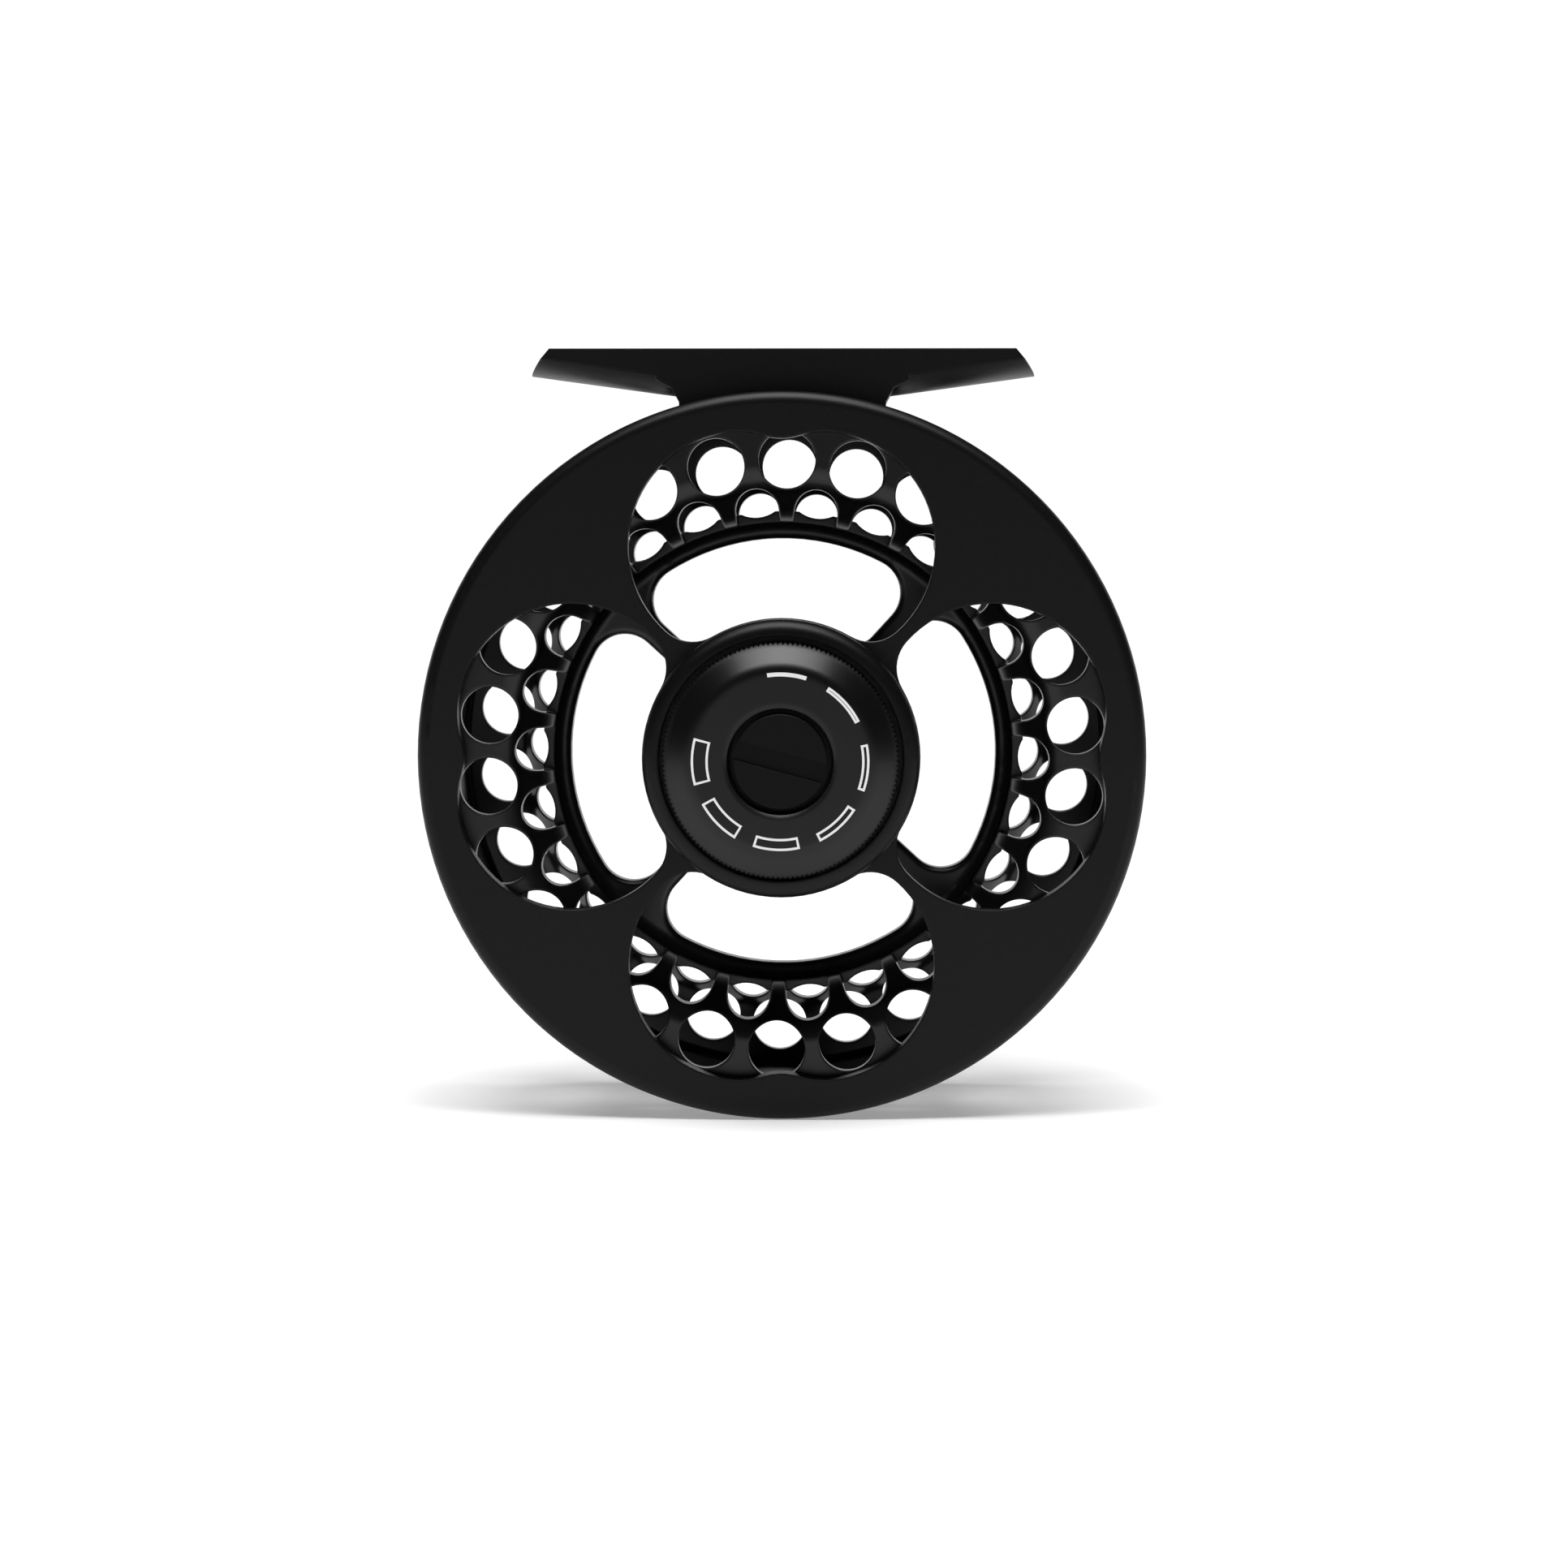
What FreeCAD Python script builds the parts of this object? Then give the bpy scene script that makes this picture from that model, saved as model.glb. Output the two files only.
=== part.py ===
import FreeCAD, Part
import math
import operator
import os
import Sketcher

# Fly reel: a one-piece cage frame with a drag housing in its hub, a perforated spool that slides onto
# a clutch hub, a knurled drag knob in front and a handle behind.  Lengths in mm, angles in degrees.
#
# The origin is the centre of the foot's seat, the face that meets the rod.  +Z points out of the seat,
# the reel's axis runs along Y, axis_drop below the seat, and the drag knob is on the -Y side.
# Each sub-part is drawn about its own axis and then placed.

DIMENSIONS = {
    # frame
    "axis_drop": 46.2,
    "frame_radius": 41.0,
    "wall_radius": 38.4,
    "plate_front": -15.2,
    "plate_back": -12.6,
    "ring_front": 11.4,
    "ring_back": 14.6,
    "front_rim_round": 1.4,
    "back_rim_round": 1.2,
    "hub_radius": 15.5,
    "hub_front": -20.0,
    "hub_round": 1.6,
    "recess_radius": 13.6,
    "recess_floor": -16.0,
    "boss_radius": 5.6,
    "boss_front": -19.5,
    "housing_radius": 14.6,
    "housing_bore": 12.8,
    "housing_end": -2.6,
    # windows in the near plate, each drawn with tangent arcs about its centre line
    "window_hub_radius": 15.6,
    "window_corner_round": 4.42,
    "window_side_round": 12.84,
    "window_lobe_round": 9.67,
    "window_bump_round": 6.5,
    "window_bump_reach": 35.68,
    "window_lobe_offset": 4.81,
    "window_side_offset": 4.38,
    # cage openings between the posts
    "foot_bridge_angle": 40.0,
    "post_angle": 15.0,
    "side_post_drop": 10.0,
    "opening_front": -11.4,
    # reel foot
    "foot_width": 13.0,
    "foot_half_top": 26.6,
    "foot_half_length": 29.0,
    "foot_tip_edge": 1.0,
    "foot_root_edge": 3.5,
    "foot_sag": 1.85,
    "stem_half_width": 11.8,
    "stem_round": 2.6,
    "foot_screw_offset": 7.0,
    "foot_screw_radius": 1.5,
    "foot_screw_head_radius": 2.7,
    "foot_screw_head_height": 1.3,
    "foot_screw_length": 4.6,
    "screw_seat": 39.2,
    # spool
    "spool_turn": 2.46,
    "flange_radius": 37.8,
    "flange_front": -12.1,
    "flange_back": 14.9,
    "flange_thickness": 1.4,
    "flange_edge_round": 0.6,
    "lip_inner": 37.0,
    "lip_radius": 39.8,
    "lip_back": 15.9,
    "lip_round": 0.4,
    "flare_radius": 30.6,
    "flare_depth": 7.6,
    "flare_round": 3.5,
    "throat_round": 10.0,
    "bore_radius": 26.5,
    "floor_radius": 27.8,
    "web_front": -0.3,
    "web_back": 3.1,
    "rim_step": 1.5,
    "hole_count": 26,
    "hole_orbit": 33.4,
    "hole_radius": 3.22,
    "slot_orbit": 27.85,
    "slot_radius": 2.46,
    "slot_depth_end": 25.0,
    "scallop_orbit": 31.1,
    "scallop_radius": 3.9,
    "kidney_inner": 15.0,
    "kidney_outer": 24.7,
    "spoke_half_width": 1.4,
    "kidney_round": 3.9,
    "kidney_inner_round": 2.0,
    "kidney_edge_round": 0.7,
    "spool_hub_radius": 14.0,
    "spool_hub_bore": 11.0,
    "spool_hub_front": -1.2,
    "spool_hub_back": 14.5,
    "handle_orbit": 33.4,
    "boss_pad_radius": 4.2,
    # spool cap and its screws
    "cap_back": 17.0,
    "cap_screw_orbit": 12.4,
    "cap_screw_radius": 0.8,
    "cap_screw_head": 1.3,
    # spindle and bearings
    "spindle_radius": 2.5,
    "spindle_front": -19.3,
    "spindle_back": 16.0,
    "spindle_collar": 4.2,
    "bearing_radius": 4.5,
    "bearing_width": 3.0,
    "ball_orbit": 3.5,
    "ball_radius": 0.55,
    "ball_count": 9,
    "front_bearing": -7.4,
    "rear_bearing": 11.0,
    # drag stack
    "drum_radius": 6.0,
    "drum_front": -7.8,
    "drum_back": 14.1,
    "rotor_radius": 12.2,
    "rotor_front": -7.8,
    "rotor_back": -6.45,
    "disc_bore": 7.2,
    "disc_radius": 12.2,
    "washer_front": -12.2,
    "washer_back": -10.95,
    "disc_spring_sheet": 0.1,
    "pressure_front": -10.4,
    "pressure_back": -9.2,
    "front_disc_back": -8.3,
    "rear_disc_front": -6.35,
    "cover_front": -5.45,
    "cover_back": -3.75,
    "circlip_front": -3.7,
    "circlip_back": -2.9,
    "circlip_depth": 0.6,
    "key_orbit": 12.8,
    "key_radius": 1.0,
    # clutch
    "clutch_front": -2.2,
    "clutch_back": 13.8,
    "clutch_radius": 9.0,
    "clutch_inner": 7.7,
    "roller_radius": 0.8,
    "roller_orbit": 6.84,
    "roller_count": 8,
    "roller_half_length": 5.0,
    "cage_inner": 6.15,
    "cage_outer": 7.55,
    "clutch_hub_radius": 10.9,
    "spline_radius": 0.9,
    "spline_count": 6,
    # drag knob
    "knob_radius": 13.0,
    "knob_back": -16.4,
    "knob_face": -25.6,
    "knob_shoulder": -23.6,
    "knob_face_radius": 10.3,
    "knob_dome_round": 1.9,
    "knob_hole_radius": 5.86,
    "knob_seat": -22.4,
    "knob_pocket_radius": 9.7,
    "knob_pocket_depth": -20.0,
    "knurl_count": 150,
    "knurl_depth": 0.28,
    "knurl_half_width": 0.2,
    "cap_radius": 5.24,
    "cap_front": -25.5,
    "cap_shank_radius": 1.8,
    "cap_slot_width": 2.3,
    "cap_slot_depth": 0.7,
    "cap_slot_angle": -15.0,
    # adjuster
    "adjuster_front": -18.9,
    "adjuster_back": -17.0,
    "pin_orbit": 8.0,
    "pin_radius": 1.1,
    # detent and click
    "detent_orbit": 11.2,
    "detent_radius": 1.0,
    "detent_centre": -15.3,
    "click_orbit": 12.5,
    "click_radius": 0.9,
    "click_ring_back": -1.9,
    "click_pin_back": 3.4,
    "click_notch_radius": 0.45,
    "click_notch_count": 40,
    # handle
    "handle_front": 15.2,
    "handle_back": 38.0,
    "handle_foot_radius": 3.9,
    "handle_waist_radius": 3.5,
    "handle_head_radius": 4.3,
    "handle_end_radius": 3.7,
    "handle_pin_radius": 1.6,
    "handle_bush_radius": 2.3,
    "running_gap": 0.04,
}

SHEET_NAME = "Sizes"


class Size:
    """A length that carries its value and the spreadsheet expression it comes from."""

    def __init__(self, value, text):
        self.value = value
        self.text = text

    def combine(self, other, symbol, action):
        if not isinstance(other, Size):
            other = Size(other, "(%r)" % other)
        return Size(action(self.value, other.value), "(%s %s %s)" % (self.text, symbol, other.text))

    def __add__(self, other):
        return self.combine(other, "+", operator.add)

    def __sub__(self, other):
        return self.combine(other, "-", operator.sub)

    def __mul__(self, other):
        return self.combine(other, "*", operator.mul)

    def __truediv__(self, other):
        return self.combine(other, "/", operator.truediv)

    def __neg__(self):
        return self * -1


class Dimensions:
    """The driving dimensions as named Size values, written into the document's spreadsheet."""

    def __init__(self, doc):
        sheet = doc.addObject("Spreadsheet::Sheet", SHEET_NAME)
        for row, (name, value) in enumerate(DIMENSIONS.items(), start=1):
            cell = "B%d" % row
            sheet.set("A%d" % row, name)
            sheet.set(cell, str(value))
            sheet.setAlias(cell, name)
            setattr(self, name, Size(value, "%s.%s" % (SHEET_NAME, name)))
        doc.recompute()


def fixed(value):
    """A plain number in the form that the sketch helpers take."""
    return Size(float(value), "(%r)" % float(value))


def polar(orbit, angle):
    """The x and z of a point on a circle about the reel's axis, by orbit and angle from +X."""
    turn = math.radians(angle.value)
    across = Size(orbit.value * math.cos(turn), "%s * cos(%s * 1 deg)" % (orbit.text, angle.text))
    up = Size(orbit.value * math.sin(turn), "%s * sin(%s * 1 deg)" % (orbit.text, angle.text))
    return across, up


def new_body(label):
    body = DOC.addObject("PartDesign::Body", label)
    body.Label = label
    return body


def sketch_on(body, name, plane, shift=None, turn=None):
    """A sketch on one of the body's own origin planes, moved along and turned about its normal."""
    sketch = body.newObject("Sketcher::SketchObject", name)
    origin_plane = [item for item in body.Origin.OriginFeatures if item.Role == plane][0]
    sketch.AttachmentSupport = [(origin_plane, "")]
    sketch.MapMode = "FlatFace"
    if turn is not None:
        sketch.AttachmentOffset = FreeCAD.Placement(
            FreeCAD.Vector(0, 0, 0), FreeCAD.Rotation(FreeCAD.Vector(0, 0, 1), turn.value))
        sketch.setExpression("AttachmentOffset.Rotation.Angle", turn.text)
    if shift is not None:
        sketch.setExpression("AttachmentOffset.Base.z", shift.text)
    sketch.Visibility = False
    return sketch


def constrain(sketch, kind, *places_and_size):
    """Adds a dimensional constraint whose value follows the sheet."""
    *places, size = places_and_size
    index = sketch.addConstraint(Sketcher.Constraint(kind, *places, size.value))
    sketch.setExpression("Constraints[%d]" % index, size.text)


def pin_point(sketch, geometry, end, across, up):
    constrain(sketch, "DistanceX", -1, 1, geometry, end, across)
    constrain(sketch, "DistanceY", -1, 1, geometry, end, up)


def draw_polygon(sketch, corners):
    """A closed polygon through corners, each an (across, up) pair of sizes."""
    points = [FreeCAD.Vector(across.value, up.value, 0) for across, up in corners]
    first = sketch.GeometryCount
    for start, end in zip(points, points[1:] + points[:1]):
        sketch.addGeometry(Part.LineSegment(start, end))
    count = len(corners)
    for index in range(count):
        here = first + index
        following = first + (index + 1) % count
        sketch.addConstraint(Sketcher.Constraint("Coincident", here, 2, following, 1))
    for index, (across, up) in enumerate(corners):
        pin_point(sketch, first + index, 1, across, up)


def draw_circle(sketch, radius, across, up):
    centre = FreeCAD.Vector(across.value, up.value, 0)
    index = sketch.addGeometry(Part.Circle(centre, FreeCAD.Vector(0, 0, 1), radius.value))
    constrain(sketch, "Radius", index, radius)
    pin_point(sketch, index, 3, across, up)


def feature(body, kind, name, sketch):
    item = body.newObject("PartDesign::" + kind, name)
    item.Profile = sketch
    return item


def revolve(body, sketch, kind="Revolution", angle=None):
    item = feature(body, kind, sketch.Name + "_turned", sketch)
    item.ReferenceAxis = (sketch, ["V_Axis"])
    item.Angle = 360.0
    if angle is not None:
        item.setExpression("Angle", angle.text)
        item.Midplane = True
    return item


def turned(label, corners, angle=None):
    """A body turned about Y from a closed profile of (radius, y) corners."""
    body = new_body(label)
    sketch = sketch_on(body, label + "_profile", "XY_Plane")
    draw_polygon(sketch, corners)
    revolve(body, sketch, angle=angle)
    DOC.recompute()
    return body


def ring(label, inner, outer, front, back, angle=None):
    return turned(label, [(inner, front), (outer, front), (outer, back), (inner, back)], angle)


def extrude(body, sketch, kind, length=None, backwards=False, both_ways=False):
    """A pad or a pocket: a pocket on the XZ plane goes towards +Y, unless it is backwards."""
    item = feature(body, kind, sketch.Name + "_cut" if kind == "Pocket" else sketch.Name + "_pad", sketch)
    if length is None:
        item.Type = "ThroughAll"
    else:
        item.setExpression("Length", length.text)
    item.Reversed = backwards
    item.Midplane = both_ways
    return item


def repeat(body, item, count):
    """Repeats a feature evenly about the reel's axis."""
    pattern = body.newObject("PartDesign::PolarPattern", item.Name + "_ring")
    pattern.Originals = [item]
    pattern.Axis = (item.Profile[0], ["N_Axis"])
    pattern.Angle = 360.0
    pattern.setExpression("Occurrences", count.text)
    body.Tip = pattern
    DOC.recompute()
    return pattern


def edge_names(shape, wanted):
    return ["Edge%d" % number for number, edge in enumerate(shape.Edges, start=1) if wanted(edge)]


def circle_at(radius, along):
    """Picks circular edges about the Y axis by radius and y."""
    def wanted(edge):
        curve = edge.Curve
        return (isinstance(curve, Part.Circle) and abs(curve.Radius - radius.value) < 1e-4
                and abs(curve.Center.y - along.value) < 1e-4
                and math.hypot(curve.Center.x, curve.Center.z) < 1e-4)
    return wanted


def dress(body, kind, name, size, wanted):
    """A fillet or a chamfer on the edges of the body's tip that are wanted."""
    DOC.recompute()
    base = body.Tip
    names = edge_names(base.Shape, wanted)
    if not names:
        raise RuntimeError("no edge found for " + name)
    item = body.newObject("PartDesign::" + kind, name)
    item.Base = (base, names)
    item.setExpression("Radius" if kind == "Fillet" else "Size", size.text)
    DOC.recompute()
    return item


def fillet(body, name, size, wanted):
    return dress(body, "Fillet", name, size, wanted)


def place(item, across=None, up=None, turn=None):
    """Puts a sub-part on the reel's axis, or beside it, and turns it with the spool if asked."""
    if turn is not None:
        item.Placement = FreeCAD.Placement(
            FreeCAD.Vector(0, 0, 0), FreeCAD.Rotation(FreeCAD.Vector(0, -1, 0), turn.value))
        item.setExpression("Placement.Rotation.Angle", turn.text)
    height = -D.axis_drop
    if up is not None:
        height = up - D.axis_drop
    if across is not None:
        item.setExpression("Placement.Base.x", across.text)
    item.setExpression("Placement.Base.z", height.text)
    return item


def group(label, members):
    """Several separate solids of one kind, kept as one sub-part."""
    cluster = DOC.addObject("Part::Compound", label)
    cluster.Label = label
    cluster.Links = members
    return cluster


def ring_of(label, count, orbit, make):
    """A group of pieces that make(name) builds along Y, spread evenly on an orbit."""
    members = []
    for index in range(int(count)):
        item = make("%s_%d" % (label, index + 1))
        across, up = polar(orbit, fixed(360.0 * index / count))
        item.setExpression("Placement.Base.x", across.text)
        item.setExpression("Placement.Base.z", up.text)
        members.append(item)
    return group(label, members)


def rod(name, radius, front, back):
    """A plain round bar along Y."""
    item = DOC.addObject("Part::Cylinder", name)
    item.setExpression("Radius", radius.text)
    item.setExpression("Height", (back - front).text)
    item.Placement = FreeCAD.Placement(
        FreeCAD.Vector(0, 0, 0), FreeCAD.Rotation(FreeCAD.Vector(1, 0, 0), -90))
    item.setExpression("Placement.Base.y", front.text)
    return item


def ball(name, radius, along):
    item = DOC.addObject("Part::Sphere", name)
    item.setExpression("Radius", radius.text)
    item.setExpression("Placement.Base.y", along.text)
    return item


def coned_disc(label, inner, outer, inner_front, outer_front):
    """A thin coned spring disc, from the y of its front face at each edge."""
    return turned(label, [
        (inner, inner_front),
        (outer, outer_front),
        (outer, outer_front + D.disc_spring_sheet),
        (inner, inner_front + D.disc_spring_sheet),
    ])


# --- frame ---------------------------------------------------------------------------------------

def make_frame():
    """The cage: near plate, rim, hub with its drag housing, far ring and posts, in one piece."""
    groove_bottom = D.housing_bore + D.circlip_depth
    body = turned("frame", [
        (D.spindle_radius + D.running_gap, D.boss_front),
        (D.boss_radius, D.boss_front),
        (D.boss_radius, D.recess_floor),
        (D.recess_radius, D.recess_floor),
        (D.recess_radius, D.hub_front),
        (D.hub_radius, D.hub_front),
        (D.hub_radius, D.plate_front),
        (D.frame_radius, D.plate_front),
        (D.frame_radius, D.ring_back),
        (D.wall_radius, D.ring_back),
        (D.wall_radius, D.plate_back),
        (D.housing_radius, D.plate_back),
        (D.housing_radius, D.housing_end),
        (D.housing_bore, D.housing_end),
        (D.housing_bore, D.circlip_back),
        (groove_bottom, D.circlip_back),
        (groove_bottom, D.circlip_front),
        (D.housing_bore, D.circlip_front),
        (D.housing_bore, D.plate_back),
        (D.spindle_radius + D.running_gap, D.plate_back),
    ])
    fillet(body, "front_rim", D.front_rim_round, circle_at(D.frame_radius, D.plate_front))
    fillet(body, "back_rim", D.back_rim_round, circle_at(D.frame_radius, D.ring_back))
    fillet(body, "hub_rim", D.hub_round, circle_at(D.hub_radius, D.hub_front))
    cut_windows(body)
    cut_cage(body)
    cut_small_holes(body)
    return place(body)


def cut_windows(body):
    window = sketch_on(body, "window", "XZ_Plane", shift=-D.hub_front)
    draw_window(window)
    repeat(body, extrude(body, window, "Pocket"), fixed(4))


def draw_window(sketch):
    """The window above the hub: hub arc, then on each side a corner, a side, a lobe and half a bump.

    The arcs of the left half are tangent to each other; the right half mirrors them.
    """
    hub = D.window_hub_radius.value
    corner = D.window_corner_round.value
    side = D.window_side_round.value
    lobe = D.window_lobe_round.value
    bump = D.window_bump_round.value
    bump_up = D.window_bump_reach.value + bump
    lobe_at = (-D.window_lobe_offset.value,
               bump_up - math.sqrt((bump + lobe) ** 2 - D.window_lobe_offset.value ** 2))
    slant = math.sqrt((side - lobe) ** 2
                      - (D.window_lobe_offset.value - D.window_side_offset.value) ** 2)
    side_at = (-D.window_side_offset.value, lobe_at[1] - slant)
    corner_at = circles_meet((0.0, 0.0), hub + corner, side_at, side - corner)
    joints = [
        toward((0.0, bump_up), lobe_at, bump),
        toward(side_at, lobe_at, side),
        toward(side_at, corner_at, side),
        toward((0.0, 0.0), corner_at, hub),
    ]
    mirrored = [(-across, up) for across, up in joints]
    chain = [
        arc_between((0.0, bump_up), joints[0], mirrored[0], True),
        arc_between(lobe_at, joints[0], joints[1], True),
        arc_between(side_at, joints[1], joints[2], True),
        arc_between(corner_at, joints[2], joints[3], True),
        arc_between((0.0, 0.0), mirrored[3], joints[3], True),
    ]
    for centre, first, second in ((corner_at, mirrored[3], mirrored[2]), (side_at, mirrored[2], mirrored[1]),
                                  (lobe_at, mirrored[1], mirrored[0])):
        chain.append(arc_between((-centre[0], centre[1]), first, second, True))
    for arc in chain:
        sketch.addGeometry(arc)
    constrain_window(sketch)


def constrain_window(sketch):
    bump, lobe, side, corner, hub, corner_right, side_right, lobe_right = range(8)
    start, end, centre = 1, 2, 3
    tangents = [(bump, start, lobe, start), (lobe, end, side, start),
                (side, end, corner, start), (corner, end, hub, end)]
    for first, first_end, second, second_end in tangents:
        sketch.addConstraint(Sketcher.Constraint("Tangent", first, first_end, second, second_end))
    joins = [(hub, start, corner_right, start), (corner_right, end, side_right, start),
             (side_right, end, lobe_right, start), (lobe_right, end, bump, end)]
    for first, first_end, second, second_end in joins:
        sketch.addConstraint(Sketcher.Constraint("Coincident", first, first_end, second, second_end))
    mirrors = [(hub, end, hub, start), (side, end, side_right, start),
               (side, start, side_right, end), (bump, start, bump, end)]
    for first, first_end, second, second_end in mirrors:
        sketch.addConstraint(Sketcher.Constraint("Symmetric", first, first_end, second, second_end, -2))
    for left, right in ((corner, corner_right), (side, side_right), (lobe, lobe_right)):
        sketch.addConstraint(Sketcher.Constraint("Equal", left, right))
    sketch.addConstraint(Sketcher.Constraint("Coincident", hub, centre, -1, 1))
    constrain(sketch, "Radius", hub, D.window_hub_radius)
    constrain(sketch, "Radius", corner, D.window_corner_round)
    constrain(sketch, "Radius", side, D.window_side_round)
    constrain(sketch, "Radius", lobe, D.window_lobe_round)
    constrain(sketch, "Radius", bump, D.window_bump_round)
    constrain(sketch, "DistanceY", -1, 1, bump, centre, D.window_bump_reach + D.window_bump_round)
    constrain(sketch, "DistanceX", -1, 1, lobe, centre, -D.window_lobe_offset)
    constrain(sketch, "DistanceX", -1, 1, side, centre, -D.window_side_offset)


def toward(start, target, distance):
    """The point at a distance from start on the line to target."""
    length = math.dist(start, target)
    return (start[0] + (target[0] - start[0]) * distance / length,
            start[1] + (target[1] - start[1]) * distance / length)


def circles_meet(first, first_radius, second, second_radius):
    """The left one of the two points where two circles cross."""
    apart = math.dist(first, second)
    along = (first_radius ** 2 - second_radius ** 2 + apart ** 2) / (2 * apart)
    aside = math.sqrt(first_radius ** 2 - along ** 2)
    unit = ((second[0] - first[0]) / apart, (second[1] - first[1]) / apart)
    foot = (first[0] + unit[0] * along, first[1] + unit[1] * along)
    return (foot[0] - abs(unit[1]) * aside, foot[1] + unit[0] * aside)


def arc_between(centre, first, second, counter_clockwise):
    """An arc about centre from first to second."""
    begin = math.atan2(first[1] - centre[1], first[0] - centre[0])
    finish = math.atan2(second[1] - centre[1], second[0] - centre[0])
    if not counter_clockwise:
        begin, finish = finish, begin
    if finish < begin:
        finish += 2 * math.pi
    radius = math.dist(centre, first)
    circle = Part.Circle(FreeCAD.Vector(centre[0], centre[1], 0), FreeCAD.Vector(0, 0, 1), radius)
    return Part.ArcOfCircle(circle, begin, finish)


def cut_cage(body):
    """Opens the cage wall between the foot bridge at the top and the three posts."""
    side_post = fixed(180) + D.side_post_drop
    upper_start = fixed(90) + D.foot_bridge_angle / 2
    upper_end = side_post - D.post_angle / 2
    lower_start = side_post + D.post_angle / 2
    lower_end = fixed(270) - D.post_angle / 2
    for number, (begin, finish) in enumerate(((upper_start, upper_end), (lower_start, lower_end))):
        middle = (begin + finish) / 2
        for side, centre in (("left", middle), ("right", fixed(180) - middle)):
            name = "opening_%s_%d" % (side, number)
            sketch = sketch_on(body, name, "XY_Plane")
            turn_about_axis(sketch, centre)
            inner = D.wall_radius - 1
            outer = D.frame_radius + 1
            draw_polygon(sketch, [(inner, D.opening_front), (outer, D.opening_front),
                                  (outer, D.ring_front), (inner, D.ring_front)])
            revolve(body, sketch, "Groove", angle=finish - begin)


def turn_about_axis(sketch, angle):
    """Swings a sketch on the XY plane about the reel's axis, by an angle from +X towards +Z."""
    sketch.AttachmentOffset = FreeCAD.Placement(
        FreeCAD.Vector(0, 0, 0), FreeCAD.Rotation(FreeCAD.Vector(0, -1, 0), angle.value))
    sketch.setExpression("AttachmentOffset.Rotation.Angle", angle.text)


def cut_small_holes(body):
    """Foot screw holes, push pin holes, the detent's pocket and the keyways of the housing."""
    through = D.foot_screw_radius + 0.15
    screw_holes = sketch_on(body, "foot_screw_holes", "XY_Plane")
    seats = sketch_on(body, "foot_screw_seats", "XY_Plane")
    for side in (D.foot_screw_offset, -D.foot_screw_offset):
        draw_circle(screw_holes, through, side, fixed(0))
        draw_circle(seats, D.foot_screw_head_radius + 0.15, side, fixed(0))
    extrude(body, screw_holes, "Pocket", D.frame_radius, backwards=True)
    extrude(body, seats, "Pocket", D.screw_seat, backwards=True)
    pin_hole = sketch_on(body, "pin_hole", "XZ_Plane", shift=-D.recess_floor)
    draw_circle(pin_hole, D.pin_radius + D.running_gap, D.pin_orbit, fixed(0))
    repeat(body, extrude(body, pin_hole, "Pocket", D.plate_back - D.recess_floor), fixed(3))
    detent = sketch_on(body, "detent_pocket", "XZ_Plane", shift=-D.recess_floor, turn=fixed(60))
    draw_circle(detent, D.detent_radius + D.running_gap, D.detent_orbit, fixed(0))
    extrude(body, detent, "Pocket", D.plate_back - D.recess_floor - 0.8)
    keyway = sketch_on(body, "keyway", "XZ_Plane", shift=-D.plate_back)
    draw_circle(keyway, D.key_radius + 0.1, D.key_orbit, fixed(0))
    repeat(body, extrude(body, keyway, "Pocket", D.housing_end - D.plate_back), fixed(3))


# --- foot ----------------------------------------------------------------------------------------

def make_foot():
    """The reel foot: two wings with an arched underside, and a stem on the cage's rim."""
    body = new_body("reel_foot")
    for name, sign in (("left", -1), ("right", 1)):
        sections = []
        for place_name, reach, edge in (("root", D.stem_half_width - 1, D.foot_root_edge),
                                        ("tip", D.foot_half_length, D.foot_tip_edge)):
            section = sketch_on(body, "%s_%s" % (name, place_name), "YZ_Plane", shift=reach * sign)
            draw_wing_section(section, edge)
            sections.append(section)
        loft = feature(body, "AdditiveLoft", name + "_wing", sections[0])
        loft.Sections = sections[1:]
        loft.Ruled = True
    stem = sketch_on(body, "stem", "XZ_Plane")
    draw_stem(stem)
    extrude(body, stem, "Pad", D.foot_width, both_ways=True)
    ends = sketch_on(body, "slanted_ends", "XZ_Plane")
    draw_end_cuts(ends)
    extrude(body, ends, "Pocket", D.foot_width * 2, both_ways=True)
    holes = sketch_on(body, "screw_threads", "XY_Plane", shift=-D.foot_root_edge * 3)
    for side in (D.foot_screw_offset, -D.foot_screw_offset):
        draw_circle(holes, D.foot_screw_radius + 0.05, side, fixed(0))
    extrude(body, holes, "Pocket", D.foot_root_edge * 3 - 1.5, backwards=True)
    DOC.recompute()
    return body


def draw_wing_section(sketch, edge):
    """A wing's section: flat seat, short sides and an arched underside."""
    half = D.foot_width / 2
    corners = [(-half.value, -edge.value), (-half.value, 0.0), (half.value, 0.0), (half.value, -edge.value)]
    points = [FreeCAD.Vector(across, up, 0) for across, up in corners]
    for start, end in zip(points, points[1:]):
        sketch.addGeometry(Part.LineSegment(start, end))
    low = FreeCAD.Vector(0, -edge.value - D.foot_sag.value, 0)
    sketch.addGeometry(Part.Arc(points[3], low, points[0]))
    arc = 3
    for index in range(2):
        sketch.addConstraint(Sketcher.Constraint("Coincident", index, 2, index + 1, 1))
    sketch.addConstraint(Sketcher.Constraint("Coincident", 2, 2, arc, 2))
    sketch.addConstraint(Sketcher.Constraint("Coincident", 0, 1, arc, 1))
    pin_point(sketch, 0, 1, -half, -edge)
    pin_point(sketch, 0, 2, -half, fixed(0))
    pin_point(sketch, 1, 2, half, fixed(0))
    pin_point(sketch, 2, 2, half, -edge)
    sag = D.foot_sag
    constrain(sketch, "Radius", arc, (half * half + sag * sag) / (sag * 2))


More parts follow.
